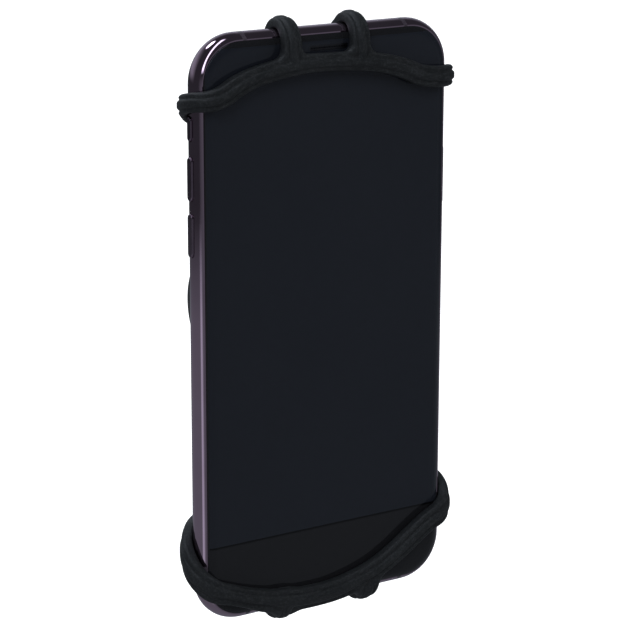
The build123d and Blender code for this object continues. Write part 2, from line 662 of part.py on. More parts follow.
# Clamp --------------------------------------------------------------------------------
KNUCKLE_SPLIT_X = 3.9
KNUCKLE_GAP = 0.2
KNUCKLE_RELIEF = 0.35
NUT_AF = 8.0
NUT_T = 4.0
PIN_FIT = 0.06
PIN_RUNNING_R = PIN_R + PIN_FIT
PIN_EDGE = 0.3
EAR_CORNER_R = 2.5
SADDLE_Z = 12.0
SADDLE_T = 6.5
SADDLE_CORNER_R = 3.0
TURRET_T = 4.3
SOFT_EDGE = 0.8
BRACE = ((0.0, 12.8), (0.0, PIN_Z), (KNUCKLE_R, PIN_Z), (9.0, 12.4))


def half_ring(outer_r, inner_r, side, edge_r=0):
    """Half of a ring round the handlebar, in front of (-1) or behind (1) the split."""
    with BuildPart() as half:
        with BuildSketch(Plane.YZ):
            Circle(outer_r)
            Circle(inner_r, mode=Mode.SUBTRACT)
            with Locations((side * (SPLIT - outer_r), 0)):
                Rectangle(2 * outer_r, 3 * outer_r, mode=Mode.SUBTRACT)
        extrude(amount=CLAMP_W / 2, both=True)
        if edge_r:
            fillet(half.edges().filter_by(GeomType.CIRCLE).group_by(SortBy.RADIUS)[-1], edge_r)
    return half


def ear(side):
    """The lug under a half ring, which the clamp screw passes through."""
    with BuildPart() as lug:
        with BuildSketch(plane_y(side * SPLIT)):
            with Locations((0, (EAR_BOTTOM_Z - LINER_R) / 2)):
                RectangleRounded(EAR_W, -EAR_BOTTOM_Z - LINER_R, EAR_CORNER_R)
        extrude(amount=-side * EAR_T)
        fillet(lug.faces().sort_by(Axis.Y)[0 if side < 0 else -1].edges(), SOFT_EDGE)
    return lug


def knuckle_outline(side):
    """A hinge knuckle with the brace that joins it to its half ring, in a YZ sketch."""
    with Locations((0, PIN_Z)):
        Circle(KNUCKLE_R)
    Polygon(*[(side * max(y, SPLIT), z) for y, z in BRACE], align=None)


def outer_knuckle_bands(extra=0.0):
    """The two X spans of the base's knuckles, as mid points and a half length."""
    length = CLAMP_W / 2 - KNUCKLE_SPLIT_X
    return KNUCKLE_SPLIT_X + length / 2, length / 2 + extra


# Base: the front half ring, its turret for the swivel, the knuckles and the front ear.
front_ring = half_ring(RING_R, LINER_R, -1, SOFT_EDGE)
front_ear = ear(-1)
with BuildPart() as clamp_base:
    with BuildSketch(plane_y(TURRET_Y)):
        Circle(TURRET_R)
    extrude(amount=-TURRET_T)
    chamfer(clamp_base.edges().filter_by(GeomType.CIRCLE), SOFT_EDGE)
    with BuildSketch(plane_y(TURRET_Y + TURRET_T)):
        RectangleRounded(CLAMP_W, 2 * SADDLE_Z, SADDLE_CORNER_R)
    extrude(amount=-SADDLE_T)
    fillet(clamp_base.faces().sort_by(Axis.Y)[-1].edges(), 2 * SOFT_EDGE)
    add(front_ring.part)
    add(front_ear.part)
    for side_x in (-1, 1):
        middle_x, half_x = outer_knuckle_bands()
        with BuildSketch(Plane.YZ.offset(side_x * middle_x)):
            knuckle_outline(-1)
        extrude(amount=half_x, both=True)
    with BuildSketch(Plane.YZ):
        Circle(LINER_R)
    extrude(amount=CLAMP_W, both=True, mode=Mode.SUBTRACT)
    with BuildSketch(Plane.YZ):
        with Locations((0, PIN_Z)):
            Circle(KNUCKLE_R + KNUCKLE_RELIEF)
    extrude(amount=KNUCKLE_SPLIT_X, both=True, mode=Mode.SUBTRACT)
    with BuildSketch(Plane.YZ):
        with Locations((0, PIN_Z)):
            Circle(PIN_R)
    extrude(amount=CLAMP_W, both=True, mode=Mode.SUBTRACT)
    with BuildSketch(plane_y(POST_TOP_Y)):
        Circle(POST_R)
    extrude(amount=-(TURRET_Y - POST_TOP_Y + POST_ROOT))
    with BuildSketch(plane_y(POST_TOP_Y)):
        Circle(CENTER_SCREW_R + RUNNING_GAP)
    extrude(amount=-(CENTER_SCREW_END_Y - POST_TOP_Y + SCREW_CLEAR), mode=Mode.SUBTRACT)
    with BuildSketch(plane_y(TURRET_Y)):
        Circle(GLIDE_OUT_R + RUNNING_GAP)
        Circle(GLIDE_IN_R - RUNNING_GAP, mode=Mode.SUBTRACT)
    extrude(amount=-GLIDE_SEAT, mode=Mode.SUBTRACT)
    with BuildSketch(plane_y(TURRET_Y)):
        with Locations((-DETENT_R, 0), (DETENT_R, 0)):
            Circle(BALL_R + RUNNING_GAP)
    extrude(amount=-(BALL_HOLE_END_Y - TURRET_Y), mode=Mode.SUBTRACT)
    with BuildSketch(plane_y(-SPLIT - EAR_T)):
        with Locations((0, SCREW_Z)):
            Circle(SCREW_R + SCREW_CLEAR)
    extrude(amount=-EAR_T, mode=Mode.SUBTRACT)
    with BuildSketch(plane_y(-SPLIT - EAR_T)):
        with Locations((0, SCREW_Z)):
            RegularPolygon(NUT_AF / 2 + RUNNING_GAP, 6, major_radius=False)
    extrude(amount=-NUT_T, mode=Mode.SUBTRACT)
save(clamp_base, "clamp_base")

with BuildPart() as clamp_nut:
    with BuildSketch(plane_y(-SPLIT - EAR_T)):
        with Locations((0, SCREW_Z)):
            RegularPolygon(NUT_AF / 2, 6, major_radius=False)
            Circle(SCREW_R + RUNNING_GAP, mode=Mode.SUBTRACT)
    extrude(amount=-NUT_T)
save(clamp_nut, "clamp_nut")

# Rear jaw: the other half ring, one knuckle between the base's two, and a slotted ear.
EAR_SLOT_L = 6.9
EAR_SLOT_Z = SCREW_Z - 0.7
rear_ring = half_ring(RING_R, LINER_R, 1, SOFT_EDGE)
rear_ear = ear(1)
with BuildPart() as rear_jaw:
    add(rear_ring.part)
    add(rear_ear.part)
    for side_x in (-1, 1):
        middle_x, half_x = outer_knuckle_bands(KNUCKLE_GAP)
        with BuildSketch(Plane.YZ.offset(side_x * middle_x)):
            with Locations((0, PIN_Z)):
                Circle(KNUCKLE_R + KNUCKLE_RELIEF)
        extrude(amount=half_x, both=True, mode=Mode.SUBTRACT)
    with BuildSketch(Plane.YZ):
        knuckle_outline(1)
    extrude(amount=KNUCKLE_SPLIT_X - KNUCKLE_GAP, both=True)
    with BuildSketch(Plane.YZ):
        Circle(LINER_R)
    extrude(amount=CLAMP_W, both=True, mode=Mode.SUBTRACT)
    with BuildSketch(Plane.YZ):
        with Locations((0, PIN_Z)):
            Circle(PIN_RUNNING_R)
    extrude(amount=CLAMP_W, both=True, mode=Mode.SUBTRACT)
    with BuildSketch(plane_y(SPLIT)):
        with Locations((0, EAR_SLOT_Z)):
            SlotOverall(EAR_SLOT_L, 2 * (SCREW_R + SCREW_CLEAR), rotation=90)
    extrude(amount=-EAR_T, mode=Mode.SUBTRACT)
save(rear_jaw, "rear_jaw")

with BuildPart() as hinge_pin:
    with BuildSketch(Plane.YZ):
        with Locations((0, PIN_Z)):
            Circle(PIN_R)
    extrude(amount=CLAMP_W / 2, both=True)
    chamfer(hinge_pin.edges(), PIN_EDGE)
save(hinge_pin, "hinge_pin")

save(half_ring(LINER_R, BAR_R, -1), "liner_front")
save(half_ring(LINER_R, BAR_R, 1), "liner_rear")

WASHER_R = 5.0
WASHER_T = 1.0
WASHER_Y = SPLIT + EAR_T
KNOB_Y = WASHER_Y + WASHER_T
SCREW_TIP_Y = -11.0
SCREW_TIP_EDGE = 0.6
KNOB_CAP_T = 3.0
with BuildPart() as clamp_washer:
    with BuildSketch(plane_y(WASHER_Y)):
        with Locations((0, SCREW_Z)):
            Circle(WASHER_R)
            Circle(SCREW_R + SCREW_CLEAR, mode=Mode.SUBTRACT)
    extrude(amount=-WASHER_T)
save(clamp_washer, "clamp_washer")

with BuildPart() as clamp_screw:
    with BuildSketch(plane_y(SCREW_TIP_Y)):
        with Locations((0, SCREW_Z)):
            Circle(SCREW_R)
    extrude(amount=-(KNOB_Y + KNOB_L - KNOB_CAP_T - SCREW_TIP_Y))
    chamfer(clamp_screw.edges().sort_by(Axis.Y)[0], SCREW_TIP_EDGE)
save(clamp_screw, "clamp_screw")

# Thumb knob: a lobed wheel moulded over the end of the screw.
KNOB_LOBES = 6
FLUTE_R = 3.0
FLUTE_OUT = 1.6
KNOB_CORE = 2.2
KNOB_EDGE = 0.6
with BuildPart() as thumb_knob:
    with BuildSketch(plane_y(KNOB_Y)):
        with Locations((0, SCREW_Z)):
            Circle(KNOB_R)
            with PolarLocations(KNOB_R + FLUTE_OUT, KNOB_LOBES, start_angle=30):
                Circle(FLUTE_R, mode=Mode.SUBTRACT)
            Circle(KNOB_R - KNOB_CORE)
    extrude(amount=-KNOB_L)
    fillet(thumb_knob.faces().sort_by(Axis.Y)[-1].edges(), KNOB_EDGE)
    with BuildSketch(plane_y(KNOB_Y)):
        with Locations((0, SCREW_Z)):
            Circle(SCREW_R)
    extrude(amount=-(KNOB_L - KNOB_CAP_T), mode=Mode.SUBTRACT)
save(thumb_knob, "thumb_knob")
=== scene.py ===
import math

import bpy
import numpy as np
from mathutils import Matrix, Vector


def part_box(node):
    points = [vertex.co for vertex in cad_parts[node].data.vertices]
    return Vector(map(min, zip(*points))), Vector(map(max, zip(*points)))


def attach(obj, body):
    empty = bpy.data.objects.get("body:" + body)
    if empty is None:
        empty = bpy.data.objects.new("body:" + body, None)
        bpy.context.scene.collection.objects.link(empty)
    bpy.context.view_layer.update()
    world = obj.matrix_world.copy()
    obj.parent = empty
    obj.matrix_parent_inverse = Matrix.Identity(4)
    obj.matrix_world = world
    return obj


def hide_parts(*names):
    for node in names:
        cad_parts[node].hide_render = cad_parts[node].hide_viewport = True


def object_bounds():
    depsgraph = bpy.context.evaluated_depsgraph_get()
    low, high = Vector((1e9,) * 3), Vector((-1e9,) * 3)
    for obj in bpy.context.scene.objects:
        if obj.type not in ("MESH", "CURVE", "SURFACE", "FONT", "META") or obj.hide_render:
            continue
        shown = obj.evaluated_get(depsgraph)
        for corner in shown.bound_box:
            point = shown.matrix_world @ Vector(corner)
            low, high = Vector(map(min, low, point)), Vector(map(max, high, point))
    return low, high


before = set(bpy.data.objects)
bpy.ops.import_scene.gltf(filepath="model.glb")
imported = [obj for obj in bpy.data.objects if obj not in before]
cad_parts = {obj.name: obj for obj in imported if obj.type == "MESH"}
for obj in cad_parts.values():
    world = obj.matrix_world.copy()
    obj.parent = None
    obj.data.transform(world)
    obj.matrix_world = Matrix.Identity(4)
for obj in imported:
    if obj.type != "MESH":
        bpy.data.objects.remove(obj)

cad_low, cad_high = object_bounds()

# Phone handlebar mount. Units are metres in the CAD frame, except that the silicone web's
# shape is worked out in millimetres in the handset's own frame: X to the viewer's right,
# Y back from the handset's middle depth, Z up from its centre.
MM = 0.001

frame_low, frame_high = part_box("phone_frame")
front_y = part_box("front_glass")[0].y
back_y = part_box("back_glass")[1].y
phone_centre = Vector((
    (frame_low.x + frame_high.x) / 2,
    (front_y + back_y) / 2,
    (frame_low.z + frame_high.z) / 2,
))
PHONE_W = (frame_high.x - frame_low.x) / MM
PHONE_H = (frame_high.z - frame_low.z) / MM
PHONE_T = (back_y - front_y) / MM
PHONE_CORNER_R = 11.5
PHONE_EDGE_R = 3.8


# Camera -------------------------------------------------------------------------------
CAMERA_AZIMUTH = -32.97
CAMERA_ELEVATION = 14.74
CAMERA_ROLL = 0.14
CAMERA_DISTANCE = 0.578
CAMERA_LENS = 135.1
CAMERA_AIM = Vector((-0.00062, 0.0, 0.00063))


def make_camera():
    """The camera at the photograph's viewing angle, to the left of the screen and above it."""
    azimuth, elevation = math.radians(CAMERA_AZIMUTH), math.radians(CAMERA_ELEVATION)
    back = Vector((
        math.sin(azimuth) * math.cos(elevation),
        -math.cos(azimuth) * math.cos(elevation),
        math.sin(elevation),
    ))
    data = bpy.data.cameras.new("camera")
    data.lens = CAMERA_LENS
    data.sensor_width = 36.0
    data.clip_start = 0.01
    camera = bpy.data.objects.new("camera", data)
    bpy.context.collection.objects.link(camera)
    aim = (-back).to_track_quat("-Z", "Y").to_matrix().to_4x4()
    roll = Matrix.Rotation(math.radians(CAMERA_ROLL), 4, "Z")
    place = Matrix.Translation(phone_centre + CAMERA_AIM + back * CAMERA_DISTANCE)
    camera.matrix_world = place @ aim @ roll
    bpy.context.scene.camera = camera


make_camera()


# Silicone web -------------------------------------------------------------------------
# The web is a distance field: straps drawn on the handset's surface, given a moulded cross
# section with a rounded bead, and melted into one another and into the hub.
GRID_STEP = 0.4

# The strap's section: its thickness, the bead along its middle, the groove on each side of the
# bead, and the raised rim just inside its edge.
STRAP_T = 2.6
BEAD_H = 0.5
BEAD_W = 0.95
GROOVE_D = 0.22
GROOVE_AT = 1.3
GROOVE_W = 0.28
RIM_H = 0.14
RIM_IN = 0.75
RIM_W = 0.38

# The part of the thickness that is lost where the strap is pulled over the handset's ends, and
# over its left and right flanks in the upper half, and the distance over which that comes on.
END_THINNING = 0.14
END_PULL = 5
UPPER_LEFT_THINNING = 0.28
UPPER_RIGHT_THINNING = 0.36
FLANK_PULL = 4

# The gap under the web, how far above the handset its straps can reach, the widths over which
# its edges and joins are rounded, and a distance that counts as far away.
WEB_GAP = 0.12
WEB_REACH = 3.6
REACH_MARGIN = 1.0
JOIN_FILLET = 2.6
BEAD_JOIN = 0.8
SHOULDER = 0.9
UNDER_EDGE = 0.6
HUB_EDGE = 1.2
HUB_JOIN = 1.6
FAR = 9.0

hub_low, hub_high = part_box("silicone_web")
plate_low, plate_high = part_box("cradle_plate")
rotor_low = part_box("rotor")[0]
AXIS_Z = -phone_centre.z / MM
HUB_R = 26.0
PLATE_FIT = 0.3
PLATE_R = (plate_high.x - plate_low.x) / 2 / MM + PLATE_FIT
HUB_FACE_Y = (plate_high.y - phone_centre.y) / MM
HUB_BACK_Y = (rotor_low.y - phone_centre.y) / MM
HUB_BORE_R = 12.0


def surface(points):
    """Height above the handset's rounded surface, and the nearest point on that surface."""
    x, y, z = points.T
    over_x = np.abs(x) - (PHONE_W / 2 - PHONE_CORNER_R)
    over_z = np.abs(z) - (PHONE_H / 2 - PHONE_CORNER_R)
    out_x, out_z = np.maximum(over_x, 0), np.maximum(over_z, 0)
    reach = np.hypot(out_x, out_z)
    corner = PHONE_CORNER_R - PHONE_EDGE_R
    beside = np.where(reach > 0, reach, np.maximum(over_x, over_z)) - corner
    behind = np.abs(y) - (PHONE_T / 2 - PHONE_EDGE_R)
    out_side, out_back = np.maximum(beside, 0), np.maximum(behind, 0)
    length = np.maximum(np.hypot(out_side, out_back), 1e-9)
    height = length + np.minimum(np.maximum(beside, behind), 0) - PHONE_EDGE_R
    reach = np.maximum(reach, 1e-9)
    normal = np.stack([
        out_side / length * out_x / reach * np.sign(x),
        out_back / length * np.sign(y),
        out_side / length * out_z / reach * np.sign(z),
    ], axis=1)
    return height, points - height[:, None] * normal


def smooth_min(a, b, k):
    """The lower of a and b, with the corner between them rounded over a width k."""
    h = np.clip(0.5 + 0.5 * (b - a) / k, 0, 1)
    return b + (a - b) * h - k * h * (1 - h)


def smooth_max(a, b, k):
    """The higher of a and b, with the corner between them rounded over a width k."""
    return -smooth_min(-a, -b, k)


def route(*guides, samples=14):
    """A smooth line through guide points (X, Y, Z, strap width), laid onto the handset."""
    knots = np.array(guides, float)
    ends = np.vstack([2 * knots[0] - knots[1], knots, 2 * knots[-1] - knots[-2]])
    line = []
    for p0, p1, p2, p3 in zip(ends, ends[1:], ends[2:], ends[3:]):
        t = np.linspace(0, 1, samples, endpoint=False)[:, None]
        line.append(0.5 * (2 * p1 + (p2 - p0) * t + (2 * p0 - 5 * p1 + 4 * p2 - p3) * t**2
                           + (3 * p1 - p0 - 3 * p2 + p3) * t**3))
    line = np.vstack(line + [knots[-1:]])
    return np.column_stack([surface(line[:, :3])[1], line[:, 3]])


def distance_to_line(points, line):
    """Distance from each point to a strap's centre line, and the strap's half width there."""
    best = np.full(len(points), 1e9)
    half = np.zeros(len(points))
    for start, end in zip(line, line[1:]):
        run = end[:3] - start[:3]
        t = np.clip((points - start[:3]) @ run / max(run @ run, 1e-12), 0, 1)
        gap = points - start[:3] - t[:, None] * run
        square = np.einsum("ij,ij->i", gap, gap)
        nearer = square < best
        best = np.where(nearer, square, best)
        half = np.where(nearer, (start[3] + t * (end[3] - start[3])) / 2, half)
    return np.sqrt(best), half


FRONT = -PHONE_T / 2
BACK = PHONE_T / 2
SIDE = PHONE_W / 2
END = PHONE_H / 2
FORK_X = 21.0
FORK_Z = 42.0
UPPER_LOOPS = (-11.2, 7.9)
LOWER_LOOPS = (-12.3, 11.8)


def web_routes():
    """Every strap's centre line with its width: two bands, then loops and arms by side."""
    straps = [route(
        (-FORK_X, BACK, FORK_Z, 5.6), (-27, BACK, 49.0, 5.2), (-33, BACK + 1, 53.8, 4.8),
        (-SIDE - 1, 1.5, 55.8, 4.6), (-SIDE - 1, -2.5, 56.7, 4.6), (-33, FRONT - 1, 57.1, 4.8),
        (-29.5, FRONT, 58.1, 5.1), (-25.5, FRONT, 60.2, 5.0), (-20, FRONT, 62.0, 4.7),
        (-11, FRONT, 63.5, 4.6), (-2, FRONT, 63.7, 4.4), (8, FRONT, 63.1, 4.6),
        (15, FRONT, 62.0, 4.8), (21, FRONT, 60.2, 5.0), (25, FRONT, 58.5, 5.2),
        (29.5, FRONT, 57.7, 5.2), (33, FRONT - 1, 57.5, 5.1), (SIDE + 1, -2.5, 57.3, 4.9),
        (SIDE + 1, 1.5, 56.3, 4.8), (33, BACK + 1, 54.3, 5.0), (27, BACK, 49.5, 5.3),
        (FORK_X, BACK, FORK_Z, 5.6),
    ), route(
        (-FORK_X, BACK, -FORK_Z + 2, 5.6), (-28, BACK, -45.5, 5.2), (-33, BACK + 1, -50.0, 5.0),
        (-SIDE - 1, 1.5, -54.4, 4.7), (-SIDE - 1, -2, -58.2, 4.6), (-34.5, FRONT - 1, -60.9, 4.7),
        (-29, FRONT, -63.5, 4.9), (-22, FRONT, -66.1, 5.1), (-14, FRONT, -68.0, 5.2),
        (-5, FRONT, -68.7, 5.1), (3, FRONT, -68.2, 5.1), (12, FRONT, -66.0, 5.2),
        (19, FRONT, -62.7, 5.3), (25, FRONT, -58.8, 5.4), (29.5, FRONT, -56.0, 5.4),
        (34, FRONT - 1, -53.9, 5.3), (SIDE + 1, -2, -52.0, 5.2), (SIDE + 1, 1.5, -49, 5.1),
        (33, BACK + 1, -45.5, 5.1), (28, BACK, -42.0, 5.3), (FORK_X, BACK, -FORK_Z + 4, 5.6),
    )]
    for side, top_x, bottom_x, fork_z in zip((-1, 1), UPPER_LOOPS, LOWER_LOOPS, (2, 4)):
        straps.append(route(
            (top_x + 0.2, FRONT, 65.2, 5.0), (top_x, FRONT, 67.5, 4.9),
            (top_x + 0.2, FRONT - 1, END, 4.8), (top_x + 0.6, 0, END + 1, 4.5),
            (top_x + 1.1, BACK + 1, END, 4.4), (top_x + 0.8, BACK, 66.0, 4.6),
            (side * 15.5, BACK, 54.0, 5.0), (side * FORK_X, BACK, FORK_Z, 5.6),
        ))
        straps.append(route(
            (bottom_x - 0.4, FRONT, -69.3, 6.0), (bottom_x, FRONT - 1, -END, 5.6),
            (bottom_x, 0, -END - 1, 5.0), (bottom_x, BACK + 1, -END, 4.8), (bottom_x, BACK, -66.0, 4.9),
            (side * 16.5, BACK, -52.0, 5.1), (side * FORK_X, BACK, -FORK_Z + fork_z, 5.6),
        ))
        for end, arm_z in ((1, FORK_Z), (-1, FORK_Z - fork_z)):
            straps.append(route(
                (side * FORK_X, BACK, end * arm_z, 6.2), (side * 16, BACK, end * 30, 6.4),
                (side * 10, BACK, end * 13 + AXIS_Z, 6.8),
            ))
    return straps


ROUTES = web_routes()


def thickness(foot, centre, plan):
    """Height of the silicone's outer face above the handset, at a point on the handset."""
    ends = np.clip((np.abs(foot[:, 2]) - END + END_PULL) / END_PULL, 0, 1)
    flanks = np.clip((np.abs(foot[:, 0]) - SIDE + FLANK_PULL) / FLANK_PULL, 0, 1)
    upper_thinning = np.where(foot[:, 0] > 0, UPPER_RIGHT_THINNING, UPPER_LEFT_THINNING)
    flank_thinning = np.where(foot[:, 2] > 0, upper_thinning, 0.0)
    pulled = 1 - END_THINNING * ends - flanks * flank_thinning
    bead = BEAD_H * np.exp(-(centre / BEAD_W) ** 6)
    groove = GROOVE_D * np.exp(-((centre - GROOVE_AT) / GROOVE_W) ** 2)
    rim = RIM_H * np.exp(-((plan + RIM_IN) / RIM_W) ** 2)
    return WEB_GAP + STRAP_T * pulled + bead - groove + rim


def web_field(points):
    """The web's signed distance at each point, negative inside the silicone."""
    height, foot = surface(points)
    near = (height > -REACH_MARGIN) & (height < WEB_REACH + REACH_MARGIN)
    plan = np.full(len(points), FAR)
    centre = np.full(len(points), FAR)
    for line in ROUTES:
        low, high = line[:, :3].min(0) - FAR, line[:, :3].max(0) + FAR
        close = np.flatnonzero(near & ((foot > low) & (foot < high)).all(1))
        away, half = distance_to_line(foot[close], line)
        plan[close] = smooth_min(plan[close], away - half, JOIN_FILLET)
        centre[close] = smooth_min(centre[close], away, BEAD_JOIN)
    top = thickness(foot, np.maximum(centre, 0), plan)
    straps = smooth_max(plan, height - top, SHOULDER)
    radius = np.hypot(points[:, 0], points[:, 2] - AXIS_Z)
    y = points[:, 1]
    hub = smooth_max(radius - HUB_R, y - HUB_BACK_Y, HUB_EDGE)
    hub = np.maximum(hub, BACK - y)
    field = smooth_min(straps, hub, HUB_JOIN)
    field = smooth_max(field, WEB_GAP - height, UNDER_EDGE)
    field = np.maximum(field, -np.maximum(radius - PLATE_R, y - HUB_FACE_Y))
    field = np.maximum(field, HUB_BORE_R - radius + np.where(y > BACK, 0, -FAR))
    return np.maximum(field, y - HUB_BACK_Y)


def slope(points, step=0.03):
    """The web field's gradient at each point."""
    rises = [web_field(points + shift) - web_field(points - shift) for shift in np.eye(3) * step]
    return np.stack(rises, axis=1) / (2 * step)


def surface_nets(field, origin, step):
    """Turns a grid of signed distances into a quad mesh, one vertex in each crossed cell."""
    shape = np.array(field.shape)
    inside = field < 0
    total = np.zeros(tuple(shape - 1) + (3,))
    count = np.zeros(tuple(shape - 1), int)
    cells = [slice(0, -1), slice(1, None)]
    for axis in range(3):
        others = [a for a in range(3) if a != axis]
        for i in (0, 1):
            for j in (0, 1):
                start, end = [None] * 3, [None] * 3
                start[axis], end[axis] = cells[0], cells[1]
                start[others[0]] = end[others[0]] = cells[i]
                start[others[1]] = end[others[1]] = cells[j]
                a, b = field[tuple(start)], field[tuple(end)]
                crossed = (a < 0) != (b < 0)
                t = np.where(crossed, a / np.where(crossed, a - b, 1), 0)
                offset = np.zeros(total.shape)
                offset[..., axis] = t
                offset[..., others[0]] = i
                offset[..., others[1]] = j
                total += offset * crossed[..., None]
                count += crossed
    active = count > 0
    index = np.full(active.shape, -1)
    index[active] = np.arange(active.sum())
    places = np.argwhere(active) + total[active] / count[active][:, None]
    vertices = origin + places * step
    quads = []
    for axis in range(3):
        others = [a for a in range(3) if a != axis]
        core = [slice(1, -1)] * 3
        core[axis] = slice(0, -1)
        shifted = list(core)
        shifted[axis] = slice(1, None)
        a, b = inside[tuple(core)], inside[tuple(shifted)]
        for flip, edges in ((False, a & ~b), (True, ~a & b)):
            at = np.argwhere(edges)
            at[:, others[0]] += 1
            at[:, others[1]] += 1
            corners = []
            for i, j in ((0, 0), (1, 0), (1, 1), (0, 1)):
                cell = at.copy()
                cell[:, others[0]] -= i
                cell[:, others[1]] -= j
                corners.append(index[tuple(cell.T)])
            quad = np.stack(corners, axis=1)
            if flip != (axis == 1):
                quad = quad[:, ::-1]
            quads.append(quad)
    return vertices, np.vstack(quads)


# The mesh's vertices move onto the field's surface in this many steps. The least squared slope
# keeps a step short where the field is flat.
SETTLE_STEPS = 3
LEAST_SLOPE_SQUARED = 0.25


def make_web():
    """The silicone web as one mesh, which stands for the CAD web."""
    low = np.array(hub_low - phone_centre) / MM - 2 * GRID_STEP
    high = np.array(hub_high - phone_centre) / MM + 2 * GRID_STEP
    axes = [np.arange(a, b + GRID_STEP, GRID_STEP) for a, b in zip(low, high)]
    grid = np.stack(np.meshgrid(*axes, indexing="ij"), axis=-1)
    field = web_field(grid.reshape(-1, 3)).reshape(grid.shape[:3])
    vertices, quads = surface_nets(field, low, GRID_STEP)
    for _ in range(SETTLE_STEPS):
        grade = slope(vertices)
        slope_squared = np.maximum((grade**2).sum(1), LEAST_SLOPE_SQUARED)
        step = web_field(vertices)[:, None] * grade / slope_squared[:, None]
        vertices -= np.clip(step, -GRID_STEP / 3, GRID_STEP / 3)
    mesh = bpy.data.meshes.new("silicone_web_moulded")
    mesh.from_pydata((vertices * MM + np.array(phone_centre)).tolist(), [], quads.tolist())
    mesh.update()
    mesh.polygons.foreach_set("use_smooth", [True] * len(mesh.polygons))
    web = bpy.data.objects.new("silicone_web_moulded", mesh)
    bpy.context.collection.objects.link(web)
    return web


# Materials ----------------------------------------------------------------------------
def material(name):
    """A new node material, its node tree and its shader."""
    made = bpy.data.materials.new(name)
    made.use_nodes = True
    tree = made.node_tree
    return made, tree, tree.nodes["Principled BSDF"]


def node(tree, kind, inputs=(), **settings):
    """Adds a node, sets its properties, and sets or links its inputs."""
    new = tree.nodes.new(kind)
    for key, value in settings.items():
        setattr(new, key, value)
    for key, value in dict(inputs).items():
        if isinstance(value, bpy.types.NodeSocket):
            tree.links.new(value, new.inputs[key])
        else:
            new.inputs[key].default_value = value
    return new


def noise(tree, scale, detail=3.0, roughness=0.5):
    """Object-space noise. Its scale is in features per metre."""
    where = node(tree, "ShaderNodeTexCoord").outputs["Object"]
    inputs = {"Vector": where, "Scale": scale, "Detail": detail, "Roughness": roughness}
    return node(tree, "ShaderNodeTexNoise", inputs).outputs["Fac"]


def remap(tree, value, low, high, from_low=0.3, from_high=0.7):
    """Stretches a value's range onto low to high. Noise lies mostly between 0.3 and 0.7."""
    inputs = {
        "Value": value, "From Min": from_low, "From Max": from_high,
        "To Min": low, "To Max": high,
    }
    return node(tree, "ShaderNodeMapRange", inputs).outputs["Result"]


def blend_colours(tree, factor, first, second):
    """A mix of two colours by a factor socket."""
    mixer = node(tree, "ShaderNodeMix", data_type="RGBA")
    tree.links.new(factor, mixer.inputs["Factor"])
    for socket, colour in ((mixer.inputs[6], first), (mixer.inputs[7], second)):
        if isinstance(colour, bpy.types.NodeSocket):
            tree.links.new(colour, socket)
        else:
            socket.default_value = (*colour, 1)
    return mixer.outputs[2]


def bump(tree, height, distance, strength=1.0):
    """A bump from a height socket, its distance in metres."""
    inputs = {"Height": height, "Distance": distance, "Strength": strength}
    return node(tree, "ShaderNodeBump", inputs).outputs["Normal"]


def silicone():
    """Matte black silicone with a faint bloom, specks of dust and a fine moulded skin."""
    made, tree, shader = material("silicone")
    clean = (0.0052, 0.0060, 0.0068)
    bloomed = (0.0100, 0.0112, 0.0124)
    dusty = (0.032, 0.035, 0.038)
    bloom = noise(tree, scale=90, detail=4, roughness=0.6)
    skin = noise(tree, scale=2600, detail=2)
    colour = blend_colours(tree, remap(tree, bloom, 0, 1), clean, bloomed)
    specks = noise(tree, scale=2200, detail=4, roughness=0.7)
    dust = remap(tree, specks, 0, 1, from_low=0.48, from_high=0.78)
    colour = blend_colours(tree, dust, colour, dusty)
    tree.links.new(colour, shader.inputs["Base Color"])
    tree.links.new(remap(tree, bloom, 0.5, 0.64), shader.inputs["Roughness"])
    tree.links.new(bump(tree, skin, distance=0.00008, strength=0.9), shader.inputs["Normal"])
    shader.inputs["Specular IOR Level"].default_value = 0.3
    return made


def tint_and_polish(tree, shader, pattern, dark, light, rough):
    """Runs a pattern from dark to light in the base colour, and through a range of roughness."""
    colour = blend_colours(tree, remap(tree, pattern, 0, 1), dark, light)
    tree.links.new(colour, shader.inputs["Base Color"])
    tree.links.new(remap(tree, pattern, *rough), shader.inputs["Roughness"])


def moulded_plastic(name, dark, light, grain=3200, rough=(0.42, 0.56)):
    """Moulded plastic with a fine spark-eroded grain."""
    made, tree, shader = material(name)
    cloud = noise(tree, scale=120, detail=4, roughness=0.6)
    tint_and_polish(tree, shader, cloud, dark, light, rough)
    grains = noise(tree, grain, detail=2)
    tree.links.new(bump(tree, grains, distance=0.00005, strength=0.7), shader.inputs["Normal"])
    return made


def metal(name, dark, light, rough=(0.14, 0.22), scale=300, brushed=None):
    """Metal with a slight variation in tint and polish, and brush lines of a given scale."""
    made, tree, shader = material(name)
    cloud = noise(tree, scale, detail=4, roughness=0.6)
    tint_and_polish(tree, shader, cloud, dark, light, rough)
    shader.inputs["Metallic"].default_value = 1.0
    if brushed:
        where = node(tree, "ShaderNodeTexCoord").outputs["Object"]
        stretched = node(tree, "ShaderNodeMapping", {"Vector": where, "Scale": brushed})
        inputs = {"Vector": stretched.outputs["Vector"], "Scale": 1.0, "Detail": 2.0}
        lines = node(tree, "ShaderNodeTexNoise", inputs).outputs["Fac"]
        tree.links.new(bump(tree, lines, distance=0.00001, strength=0.5), shader.inputs["Normal"])
    return made


def above(tree, value, edge, softness=0.00004):
    """1 where a value is above an edge and 0 below it, with a soft step."""
    inputs = {"Value": value, "From Min": edge - softness, "From Max": edge + softness}
    return node(tree, "ShaderNodeMapRange", inputs).outputs["Result"]


